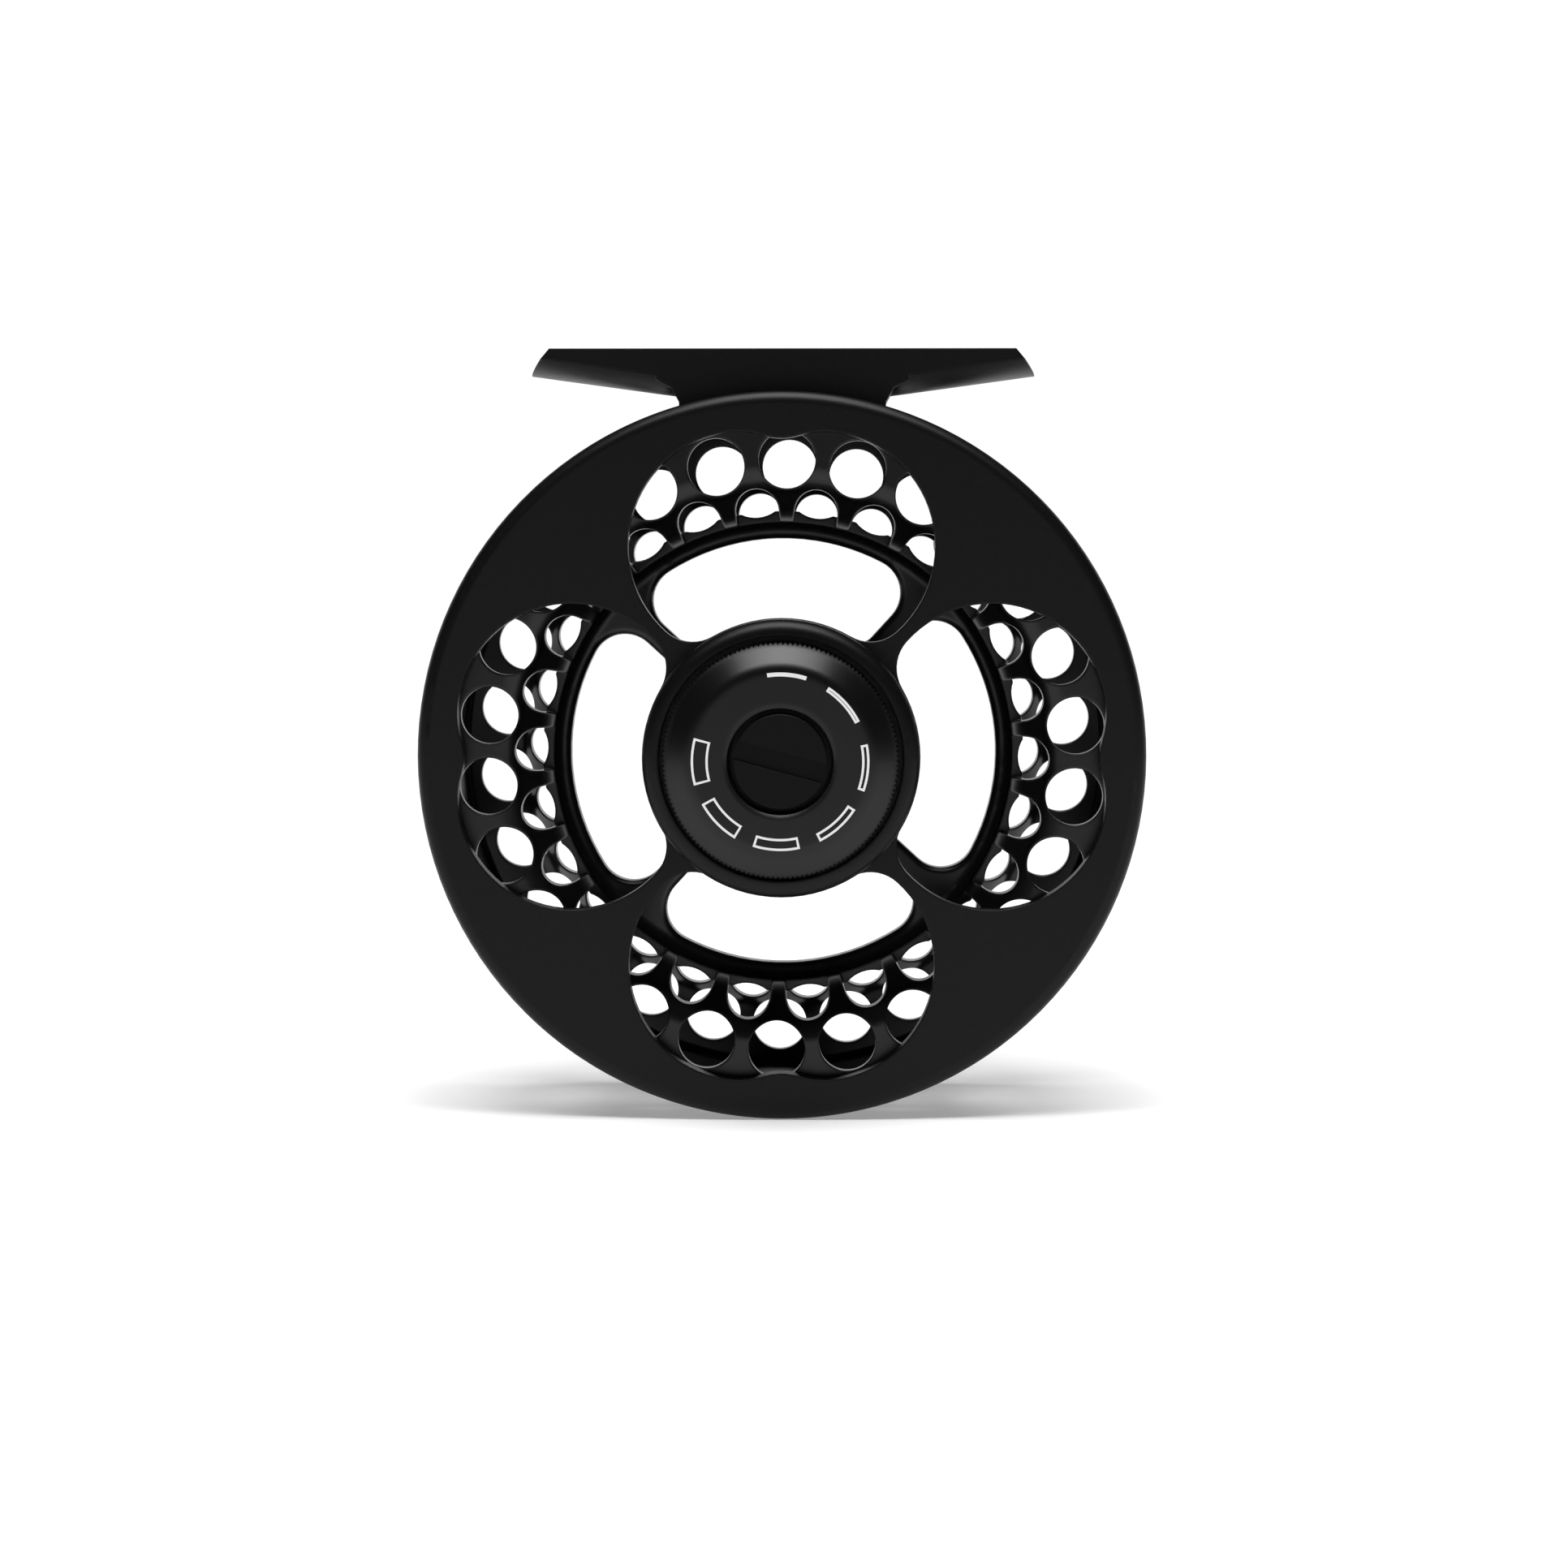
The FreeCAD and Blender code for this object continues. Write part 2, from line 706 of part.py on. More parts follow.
def draw_stem(sketch):
    """The stem's front view: flared under the wings, hollowed to sit on the rim."""
    half = D.stem_half_width
    flare = D.stem_round
    edge = D.foot_root_edge
    low = math.sqrt(D.frame_radius.value ** 2 - half.value ** 2) - D.axis_drop.value
    outline = [(half, -edge - flare), (half + flare * 0.35, -edge - flare * 0.35),
               (half + flare, -edge), (half + flare, fixed(0))]
    corners = [(half, fixed(low))] + outline
    corners += [(-across, up) for across, up in reversed(corners)]
    points = [FreeCAD.Vector(across.value, up.value, 0) for across, up in corners]
    for start, end in zip(points, points[1:]):
        sketch.addGeometry(Part.LineSegment(start, end))
    top = FreeCAD.Vector(0, D.frame_radius.value - D.axis_drop.value, 0)
    arc = sketch.addGeometry(Part.Arc(points[0], top, points[-1]))
    last = len(points) - 2
    for index in range(last):
        sketch.addConstraint(Sketcher.Constraint("Coincident", index, 2, index + 1, 1))
    sketch.addConstraint(Sketcher.Constraint("Coincident", 0, 1, arc, 1))
    sketch.addConstraint(Sketcher.Constraint("Coincident", last, 2, arc, 2))
    for index, (across, up) in enumerate(corners[1:-1]):
        pin_point(sketch, index, 2, across, up)
    constrain(sketch, "DistanceX", -1, 1, 0, 1, half)
    constrain(sketch, "DistanceX", -1, 1, last, 2, -half)
    constrain(sketch, "Radius", arc, D.frame_radius)
    constrain(sketch, "DistanceY", -1, 1, arc, 3, -D.axis_drop)


def draw_end_cuts(sketch):
    """Triangles that cut the wings' ends on a slant, longer below than at the seat."""
    slant = (D.foot_half_length - D.foot_half_top) / (D.foot_tip_edge + D.foot_sag)
    outer = D.foot_half_length + 1
    low = -(outer - D.foot_half_top) / slant
    for sign in (1, -1):
        draw_polygon(sketch, [
            ((D.foot_half_top - slant) * sign, fixed(1)),
            (outer * sign, fixed(1)),
            (outer * sign, low),
        ])


def make_foot_screws():
    """Two socket screws that hold the foot, driven from inside the cage."""
    screws = []
    for number, side in enumerate((D.foot_screw_offset, -D.foot_screw_offset), start=1):
        head = DOC.addObject("Part::Cylinder", "foot_screw_head_%d" % number)
        head.setExpression("Radius", D.foot_screw_head_radius.text)
        head.setExpression("Height", D.foot_screw_head_height.text)
        head.setExpression("Placement.Base.z", (D.screw_seat - D.foot_screw_head_height).text)
        shank = DOC.addObject("Part::Cylinder", "foot_screw_shank_%d" % number)
        shank.setExpression("Radius", D.foot_screw_radius.text)
        shank.setExpression("Height", (D.foot_screw_length + D.foot_screw_head_height).text)
        shank.setExpression("Placement.Base.z", (D.screw_seat - D.foot_screw_head_height).text)
        socket = DOC.addObject("Part::Prism", "foot_screw_socket_%d" % number)
        socket.Polygon = 6
        socket.setExpression("Circumradius", (D.foot_screw_radius * 0.75).text)
        socket.setExpression("Height", D.foot_screw_head_height.text)
        socket.setExpression("Placement.Base.z", (D.screw_seat - D.foot_screw_head_height * 1.3).text)
        solid = DOC.addObject("Part::Fuse", "foot_screw_solid_%d" % number)
        solid.Base = head
        solid.Tool = shank
        screw = DOC.addObject("Part::Cut", "foot_screw_%d" % number)
        screw.Base = solid
        screw.Tool = socket
        screw.setExpression("Placement.Base.x", side.text)
        screws.append(screw)
    return place(group("foot_screws", screws))


# --- spool ---------------------------------------------------------------------------------------

def make_spool():
    """The spool: two perforated flanges flared into ribs, a scalloped mid rim and a spoked web.

    A lip on the far flange covers its gap to the cage's far ring.
    """
    front = D.flange_front
    back = D.flange_back
    sheet = D.flange_thickness
    flare = D.flare_radius
    bore = D.bore_radius
    body = turned("spool", [
        (D.flange_radius, front),
        (flare, front),
        (bore, front + D.flare_depth),
        (bore, D.web_front),
        (D.spool_hub_radius, D.web_front),
        (D.spool_hub_radius, D.spool_hub_front),
        (D.spool_hub_bore, D.spool_hub_front),
        (D.spool_hub_bore, D.spool_hub_back),
        (D.spool_hub_radius, D.spool_hub_back),
        (D.spool_hub_radius, D.web_back),
        (bore, D.web_back),
        (bore, back - D.flare_depth),
        (flare, back),
        (D.lip_inner, back),
        (D.lip_inner, D.lip_back),
        (D.lip_radius, D.lip_back),
        (D.lip_radius, back),
        (D.flange_radius, back),
        (D.flange_radius, back - sheet),
        (flare + sheet * 0.6, back - sheet),
        (D.floor_radius, back - D.flare_depth - sheet * 0.3),
        (D.floor_radius, front + D.flare_depth + sheet * 0.3),
        (flare + sheet * 0.6, front + sheet),
        (D.flange_radius, front + sheet),
    ])
    body.Label = "spool_blank"
    round_flares(body)
    cut_rim(body)
    cut_holes(body)
    cut_kidneys(body)
    cut_spool_hub(body)
    spool = DOC.addObject("Part::Cut", "spool_slotted")
    spool.Label = "spool"
    spool.Base = body
    spool.Tool = make_slot_cutters()
    return place(spool, turn=D.spool_turn)


def round_flares(body):
    """Rounds the flares on both faces of each flange, the web's corners and the flanges' edges."""
    sheet = D.flange_thickness
    outer = D.flare_radius + sheet * 0.6
    for name, level, inward in (("front", D.flange_front, 1), ("back", D.flange_back, -1)):
        fillet(body, name + "_flare", D.flare_round, circle_at(D.flare_radius, level))
        fillet(body, name + "_throat", D.throat_round,
               circle_at(D.bore_radius, level + D.flare_depth * inward))
        fillet(body, name + "_line_flare", D.flare_round - sheet, circle_at(outer, level + sheet * inward))
        fillet(body, name + "_line_throat", D.throat_round * 0.5,
               circle_at(D.floor_radius, level + (D.flare_depth + sheet * 0.3) * inward))
    fillet(body, "front_edge", D.flange_edge_round, circle_at(D.flange_radius, D.flange_front))
    fillet(body, "lip_edge", D.lip_round, circle_at(D.lip_radius, D.lip_back))
    for name, level in (("front", D.web_front), ("back", D.web_back)):
        fillet(body, name + "_web", D.rim_step - 0.2, circle_at(D.bore_radius, level))


def cut_rim(body):
    """The scallops of the mid rim, between the ribs, at the same angles as the small holes."""
    phase = fixed(45) + fixed(180) / D.hole_count
    scallop = sketch_on(body, "scallop", "XZ_Plane", shift=D.rim_step + 0.6 - D.web_front, turn=phase)
    draw_circle(scallop, D.scallop_radius, D.scallop_orbit, fixed(0))
    length = D.web_back - D.web_front + (D.rim_step + 0.6) * 2
    repeat(body, extrude(body, scallop, "Pocket", length), D.hole_count)


def cut_holes(body):
    """The large holes, straight through both flanges."""
    hole = sketch_on(body, "hole", "XZ_Plane", shift=-D.flange_front + 1, turn=fixed(45))
    draw_circle(hole, D.hole_radius, D.hole_orbit, fixed(0))
    repeat(body, extrude(body, hole, "Pocket"), D.hole_count)


def make_slot_cutters():
    """Solids for the slots between the ribs of each flange, half a pitch from the large holes."""
    cutters = []
    for name, start, finish in (
            ("front_slot", D.flange_front - 1, D.web_front - D.rim_step),
            ("back_slot", D.web_back + D.rim_step, D.flange_back + 1)):
        body = new_body(name + "_cutter")
        slot = sketch_on(body, name, "XZ_Plane", shift=-finish)
        draw_slot(slot)
        extrude(body, slot, "Pad", finish - start)
        for index in range(int(D.hole_count.value)):
            copy = DOC.addObject("App::Link", "%s_%d" % (name, index + 1))
            copy.LinkedObject = body
            angle = 45 + 360 * (index + 0.5) / D.hole_count.value
            copy.Placement = FreeCAD.Placement(
                FreeCAD.Vector(0, 0, 0), FreeCAD.Rotation(FreeCAD.Vector(0, -1, 0), angle))
            cutters.append(copy)
    return group("slot_cutters", cutters)


def draw_slot(sketch):
    """A slot along the radius with a round outer end, open towards the axis."""
    half = D.slot_radius.value
    inner = D.slot_depth_end.value
    outer = D.slot_orbit.value
    start = FreeCAD.Vector(outer, half, 0)
    end = FreeCAD.Vector(outer, -half, 0)
    inner_end = FreeCAD.Vector(inner, -half, 0)
    inner_start = FreeCAD.Vector(inner, half, 0)
    for first, second in ((end, inner_end), (inner_end, inner_start), (inner_start, start)):
        sketch.addGeometry(Part.LineSegment(first, second))
    arc = sketch.addGeometry(Part.Arc(start, FreeCAD.Vector(outer + half, 0, 0), end))
    sketch.addConstraint(Sketcher.Constraint("Coincident", 0, 2, 1, 1))
    sketch.addConstraint(Sketcher.Constraint("Coincident", 1, 2, 2, 1))
    sketch.addConstraint(Sketcher.Constraint("Coincident", 2, 2, arc, 2))
    sketch.addConstraint(Sketcher.Constraint("Coincident", 0, 1, arc, 1))
    pin_point(sketch, 0, 1, D.slot_orbit, -D.slot_radius)
    pin_point(sketch, 1, 1, D.slot_depth_end, -D.slot_radius)
    pin_point(sketch, 1, 2, D.slot_depth_end, D.slot_radius)
    pin_point(sketch, 2, 2, D.slot_orbit, D.slot_radius)
    constrain(sketch, "DistanceX", -1, 1, arc, 3, D.slot_orbit)


def cut_kidneys(body):
    """Four kidney windows in the web, with straight spokes of even width between them."""
    kidney = sketch_on(body, "kidney", "XZ_Plane", shift=-D.web_front + 1)
    draw_kidney(kidney)
    repeat(body, extrude(body, kidney, "Pocket"), fixed(4))
    fillet(body, "kidney_edges", D.kidney_edge_round, kidney_edge_picker)


def draw_kidney(sketch):
    """The kidney above the hub: two arcs about the axis and two spoke sides, with round corners."""
    half = D.spoke_half_width.value
    outer = D.kidney_outer.value
    inner = D.kidney_inner.value
    outer_round = D.kidney_round.value
    inner_round = D.kidney_inner_round.value
    along = {}
    for name, radius, offset in (("outer", outer - outer_round, half + outer_round),
                                 ("inner", inner + inner_round, half + inner_round)):
        run = math.sqrt(radius ** 2 - offset ** 2)
        along[name] = (run, spoke_point(run, offset))
    outer_at = along["outer"][1]
    inner_at = along["inner"][1]
    outer_side = spoke_point(along["outer"][0], half)
    inner_side = spoke_point(along["inner"][0], half)
    outer_tip = toward((0.0, 0.0), outer_at, outer)
    inner_tip = toward((0.0, 0.0), inner_at, inner)
    flip = [(-across, up) for across, up in (outer_tip, outer_at, outer_side, inner_side, inner_at, inner_tip)]
    sketch.addGeometry(arc_between((0.0, 0.0), outer_tip, flip[0], True))
    sketch.addGeometry(arc_between(outer_at, outer_side, outer_tip, True))
    sketch.addGeometry(line_between(outer_side, inner_side))
    sketch.addGeometry(arc_between(inner_at, inner_tip, inner_side, True))
    sketch.addGeometry(arc_between((0.0, 0.0), inner_tip, flip[5], True))
    sketch.addGeometry(arc_between(flip[4], flip[3], flip[5], True))
    sketch.addGeometry(line_between(flip[2], flip[3]))
    sketch.addGeometry(arc_between(flip[1], flip[0], flip[2], True))
    constrain_kidney(sketch)


def spoke_point(run, offset):
    """A point by its run along the spoke at 45 degrees and its offset into the kidney above it."""
    root = math.sqrt(0.5)
    return ((run - offset) * root, (run + offset) * root)


def line_between(first, second):
    return Part.LineSegment(FreeCAD.Vector(first[0], first[1], 0), FreeCAD.Vector(second[0], second[1], 0))


def constrain_kidney(sketch):
    outer, outer_right, side_right, inner_right, inner, inner_left, side_left, outer_left = range(8)
    start, end, centre = 1, 2, 3
    tangents = [(outer, start, outer_right, end), (outer_right, start, side_right, start),
                (side_right, end, inner_right, end), (inner_right, start, inner, start)]
    for first, first_end, second, second_end in tangents:
        sketch.addConstraint(Sketcher.Constraint("Tangent", first, first_end, second, second_end))
    joins = [(outer, end, outer_left, start), (outer_left, end, side_left, start),
             (side_left, end, inner_left, start), (inner_left, end, inner, end)]
    for first, first_end, second, second_end in joins:
        sketch.addConstraint(Sketcher.Constraint("Coincident", first, first_end, second, second_end))
    mirrors = [(outer, start, outer, end), (side_right, start, side_left, start),
               (side_right, end, side_left, end), (inner, start, inner, end)]
    for first, first_end, second, second_end in mirrors:
        sketch.addConstraint(Sketcher.Constraint("Symmetric", first, first_end, second, second_end, -2))
    for right, left in ((outer_right, outer_left), (inner_right, inner_left)):
        sketch.addConstraint(Sketcher.Constraint("Equal", right, left))
    for arc in (outer, inner):
        sketch.addConstraint(Sketcher.Constraint("Coincident", arc, centre, -1, 1))
    constrain(sketch, "Radius", outer, D.kidney_outer)
    constrain(sketch, "Radius", inner, D.kidney_inner)
    constrain(sketch, "Radius", outer_right, D.kidney_round)
    constrain(sketch, "Radius", inner_right, D.kidney_inner_round)
    spoke = fixed(45)
    constrain(sketch, "Angle", side_right, Size(math.radians(225), "%s * 1 deg" % (spoke + 180).text))
    constrain(sketch, "Distance", -1, 1, side_right, D.spoke_half_width)


def kidney_edge_picker(edge):
    """Picks the outlines of the kidney windows on both faces of the web."""
    box = edge.BoundBox
    flat = box.YLength < 1e-4
    on_face = min(abs(box.YMin - D.web_front.value), abs(box.YMin - D.web_back.value)) < 1e-4
    if not (flat and on_face):
        return False
    radii = [math.hypot(vertex.X, vertex.Z) for vertex in edge.Vertexes]
    inside = D.kidney_inner.value - 0.01 < min(radii) and max(radii) < D.kidney_outer.value + 0.01
    return inside and len(edge.Vertexes) == 2


def cut_spool_hub(body):
    """Spline grooves in the hub's bore, the click pin's pocket, cap screw holes and the handle's pads."""
    spline = sketch_on(body, "spline", "XZ_Plane", shift=-D.spool_hub_front + 1)
    draw_circle(spline, D.spline_radius + 0.1, D.clutch_hub_radius, fixed(0))
    repeat(body, extrude(body, spline, "Pocket"), D.spline_count)
    click = sketch_on(body, "click_pocket", "XZ_Plane", shift=-D.spool_hub_front + 1, turn=fixed(30))
    draw_circle(click, D.click_radius + D.running_gap, D.click_orbit, fixed(0))
    extrude(body, click, "Pocket", fixed(7))
    screw = sketch_on(body, "cap_screw_hole", "XZ_Plane", shift=-D.spool_hub_back - 1, turn=fixed(90))
    draw_circle(screw, D.cap_screw_radius + D.running_gap, D.cap_screw_orbit, fixed(0))
    repeat(body, extrude(body, screw, "Pocket", fixed(6), backwards=True), fixed(3))
    for name, angle in (("handle_pad", fixed(45)), ("weight_pad", fixed(225))):
        pad = sketch_on(body, name, "XZ_Plane", shift=-D.flange_back, turn=angle)
        draw_circle(pad, D.boss_pad_radius, D.handle_orbit, fixed(0))
        extrude(body, pad, "Pad", D.flange_thickness + 0.8)
        bore = sketch_on(body, name + "_bore", "XZ_Plane", shift=-D.flange_back - 1, turn=angle)
        draw_circle(bore, D.handle_pin_radius, D.handle_orbit, fixed(0))
        extrude(body, bore, "Pocket", fixed(6), backwards=True)
    DOC.recompute()


def make_spool_fittings():
    """The cap over the spindle's end, its screws and snap ring, and the counterweight."""
    cap = turned("spool_cap", [
        (fixed(0), D.cap_back),
        (fixed(0), D.spindle_back + 0.3),
        (D.spindle_radius + 0.3, D.spindle_back + 0.3),
        (D.spindle_radius + 0.3, D.spool_hub_back),
        (D.spool_hub_radius, D.spool_hub_back),
        (D.spool_hub_radius, D.cap_back),
    ])
    fillet(cap, "cap_rim", fixed(1.2), circle_at(D.spool_hub_radius, D.cap_back))
    groove = sketch_on(cap, "snap_groove", "XY_Plane")
    draw_polygon(groove, [(fixed(2), D.spool_hub_back + 0.6), (D.spindle_radius + 1.2, D.spool_hub_back + 0.6),
                          (D.spindle_radius + 1.2, D.spool_hub_back + 1.4), (fixed(2), D.spool_hub_back + 1.4)])
    revolve(cap, groove, "Groove")
    screw = sketch_on(cap, "cap_screw_seat", "XZ_Plane", shift=-D.cap_back - 1, turn=fixed(90))
    draw_circle(screw, D.cap_screw_head + 0.1, D.cap_screw_orbit, fixed(0))
    repeat(cap, extrude(cap, screw, "Pocket", fixed(2.2), backwards=True), fixed(3))
    hole = sketch_on(cap, "cap_screw_through", "XZ_Plane", shift=-D.cap_back - 1, turn=fixed(90))
    draw_circle(hole, D.cap_screw_radius + 0.1, D.cap_screw_orbit, fixed(0))
    repeat(cap, extrude(cap, hole, "Pocket", backwards=True), fixed(3))
    screws = [make_cap_screw("cap_screw_%d" % number, 90 + 120 * number) for number in range(3)]
    snap = ring("snap_ring", D.spindle_radius + D.running_gap, D.spindle_radius + 1.1,
                D.spool_hub_back + 0.65, D.spool_hub_back + 1.35, angle=fixed(330))
    weight = turned("counterweight", [
        (fixed(0), D.flange_back - D.flange_thickness),
        (D.handle_pin_radius - D.running_gap, D.flange_back - D.flange_thickness),
        (D.handle_pin_radius - D.running_gap, D.flange_back + 0.05),
        (D.boss_pad_radius - 0.6, D.flange_back + 0.05),
        (D.boss_pad_radius - 0.6, D.flange_back + 2),
        (D.boss_pad_radius - 1.4, D.flange_back + 2.8),
        (fixed(0), D.flange_back + 2.8),
    ])
    across, up = polar(D.handle_orbit, fixed(225) + D.spool_turn)
    turned_group = group("cap_screws", screws)
    return [place(cap, turn=D.spool_turn), place(turned_group, turn=D.spool_turn), place(snap),
            place(weight, across, up)]


def make_cap_screw(name, angle):
    """A small socket screw at an angle on the cap."""
    seat = D.cap_back - 1.2
    head = rod(name + "_head", D.cap_screw_head, seat, D.cap_back - 0.1)
    shank = rod(name + "_shank", D.cap_screw_radius, seat - 5, seat)
    socket = rod(name + "_socket", D.cap_screw_radius * 0.8, D.cap_back - 0.8, D.cap_back)
    solid = DOC.addObject("Part::Fuse", name + "_solid")
    solid.Base = head
    solid.Tool = shank
    screw = DOC.addObject("Part::Cut", name)
    screw.Base = solid
    screw.Tool = socket
    across, up = polar(D.cap_screw_orbit, fixed(angle))
    screw.setExpression("Placement.Base.x", across.text)
    screw.setExpression("Placement.Base.z", up.text)
    return screw


# --- spindle, bearings and clutch ------------------------------------------------------------------

def make_spindle():
    """The fixed spindle: screwed into the hub, with a collar behind the hub's floor and a snap groove."""
    radius = D.spindle_radius
    thread = D.cap_shank_radius + D.running_gap
    groove = D.rear_bearing + D.bearing_width + 0.02
    spindle = turned("spindle", [
        (thread, D.spindle_front),
        (radius, D.spindle_front),
        (radius, D.plate_back + 0.02),
        (D.spindle_collar, D.plate_back + 0.02),
        (D.spindle_collar, D.drum_front - 1.1),
        (radius + 0.7, D.drum_front - 1.1),
        (radius + 0.7, D.front_bearing - 0.02),
        (radius, D.front_bearing - 0.02),
        (radius, groove),
        (radius - 0.5, groove),
        (radius - 0.5, groove + 0.4),
        (radius, groove + 0.4),
        (radius, D.spindle_back - 0.5),
        (radius - 0.5, D.spindle_back),
        (fixed(0), D.spindle_back),
        (fixed(0), D.spindle_front + 4),
        (thread, D.spindle_front + 4),
    ])
    clip = ring("spindle_circlip", radius - 0.46, radius + 1.2, groove + 0.02, groove + 0.36, angle=fixed(300))
    return [place(spindle), place(clip)]


def make_bearing(name, front):
    """A grooved inner race, a grooved outer race and a set of balls."""
    back = front + D.bearing_width
    middle = front + D.bearing_width / 2
    track = D.ball_radius + D.running_gap
    reach = D.ball_radius + 0.06
    inner = turned(name + "_inner_race", [
        (D.spindle_radius + 0.01, front),
        (D.ball_orbit - 0.3, front),
        (D.ball_orbit - 0.3, middle - track),
        (D.ball_orbit - reach, middle - track),
        (D.ball_orbit - reach, middle + track),
        (D.ball_orbit - 0.3, middle + track),
        (D.ball_orbit - 0.3, back),
        (D.spindle_radius + 0.01, back),
    ])
    outer = turned(name + "_outer_race", [
        (D.bearing_radius - 0.01, front),
        (D.bearing_radius - 0.01, back),
        (D.ball_orbit + 0.3, back),
        (D.ball_orbit + 0.3, middle + track),
        (D.ball_orbit + reach, middle + track),
        (D.ball_orbit + reach, middle - track),
        (D.ball_orbit + 0.3, middle - track),
        (D.ball_orbit + 0.3, front),
    ])
    balls = ring_of(name + "_balls", D.ball_count.value, D.ball_orbit,
                    lambda label: ball(label, D.ball_radius, middle))
    return [place(inner), place(outer), place(balls)]


def make_drum():
    """The hollow drag drum that turns on the spindle's bearings, and the rotor keyed to it."""
    seat = D.bearing_radius
    shoulder = seat - 0.9
    drum = turned("drag_drum", [
        (seat, D.drum_front),
        (D.drum_radius, D.drum_front),
        (D.drum_radius, D.drum_back),
        (seat, D.drum_back),
        (seat, D.rear_bearing),
        (shoulder, D.rear_bearing),
        (shoulder, D.front_bearing + D.bearing_width),
        (seat, D.front_bearing + D.bearing_width),
    ])
    rotor = ring("drag_rotor", D.drum_radius, D.rotor_radius, D.rotor_front, D.rotor_back)
    return [place(drum), place(rotor)]


def make_clutch():
    """The one-way roller clutch, and the splined hub around it that carries the spool."""
    shell = turned("clutch_shell", [
        (D.drum_radius + 0.15, D.clutch_front),
        (D.clutch_radius, D.clutch_front),
        (D.clutch_radius, D.clutch_back),
        (D.drum_radius + 0.15, D.clutch_back),
        (D.drum_radius + 0.15, D.clutch_back - 0.6),
        (D.clutch_inner, D.clutch_back - 0.6),
        (D.clutch_inner, D.clutch_front + 0.6),
        (D.drum_radius + 0.15, D.clutch_front + 0.6),
    ])
    middle = (D.clutch_front + D.clutch_back) / 2
    front = middle - D.roller_half_length
    back = middle + D.roller_half_length
    cage = ring("clutch_cage", D.cage_inner, D.cage_outer, D.clutch_front + 0.7, D.clutch_back - 0.7)
    pocket = sketch_on(cage, "roller_pocket", "XZ_Plane", shift=-front + 0.1)
    draw_circle(pocket, D.roller_radius + 0.1, D.roller_orbit, fixed(0))
    repeat(cage, extrude(cage, pocket, "Pocket", D.roller_half_length * 2 + 0.2), D.roller_count)
    rollers = ring_of("clutch_rollers", D.roller_count.value, D.roller_orbit,
                      lambda name: rod(name, D.roller_radius, front, back))
    hub = ring("clutch_hub", D.clutch_radius, D.clutch_hub_radius, D.clutch_front, D.clutch_back)
    spline = sketch_on(hub, "hub_spline", "XZ_Plane", shift=-D.clutch_back)
    draw_circle(spline, D.spline_radius, D.clutch_hub_radius, fixed(0))
    repeat(hub, extrude(hub, spline, "Pad", D.clutch_back - D.clutch_front), D.spline_count)
    DOC.recompute()
    return [place(shell), place(cage), place(rollers), place(hub, turn=D.spool_turn)]


# --- drag stack ------------------------------------------------------------------------------------

def make_drag_stack():
    """What the knob squeezes: spring washers, pressure plate, discs, and the cover that holds them."""
    middle = (D.washer_front + D.washer_back) / 2
    washer_edge = D.disc_radius - 0.8
    washers = [
        coned_disc("spring_washer_front", D.disc_bore, washer_edge, D.washer_front, D.washer_front + 0.5),
        coned_disc("spring_washer_back", D.disc_bore, washer_edge, middle + 0.5, middle),
    ]
    plate = ring("pressure_plate", D.disc_bore - 0.4, D.housing_bore - 0.1, D.pressure_front, D.pressure_back)
    key = sketch_on(plate, "plate_key", "XZ_Plane", shift=-D.pressure_back)
    draw_circle(key, D.key_radius - 0.05, D.key_orbit - 0.1, fixed(0))
    repeat(plate, extrude(plate, key, "Pad", D.pressure_back - D.pressure_front), fixed(3))
    front_disc = ring("front_friction_disc", D.disc_bore, D.disc_radius, D.pressure_back, D.front_disc_back)
    rear_disc = ring("rear_friction_disc", D.disc_bore + 0.6, D.disc_radius, D.rear_disc_front, D.cover_front)
    cover = ring("drag_cover", D.disc_bore, D.housing_bore - 0.03, D.cover_front, D.cover_back)
    clip = ring("cover_circlip", D.housing_bore - 1.4, D.housing_bore + D.circlip_depth - 0.05,
                D.circlip_front + 0.03, D.circlip_back - 0.03, angle=fixed(305))
    seal = ring("shaft_seal", D.drum_radius + 0.03, D.disc_bore, D.cover_front + 0.2, D.cover_back)
    stack = [plate, front_disc, rear_disc, cover, clip, seal]
    return [place(group("spring_washers", washers))] + [place(item) for item in stack]


def make_adjuster():
    """The nut that the knob's thread drives, and the three pins that carry its push through the hub."""
    nut = ring("adjuster_nut", D.boss_radius + 0.2, D.knob_pocket_radius - 0.05,
               D.adjuster_front, D.adjuster_back)
    pins = ring_of("push_pins", 3, D.pin_orbit,
                   lambda name: rod(name, D.pin_radius, D.adjuster_back, D.washer_front))
    seal = ring("hub_o_ring", D.knob_radius + D.running_gap, D.recess_radius - 0.02,
                D.knob_back - 1.2, D.knob_back - 0.7)
    return [place(nut), place(pins), place(seal)]


# --- drag knob ---------------------------------------------------------------------------------------

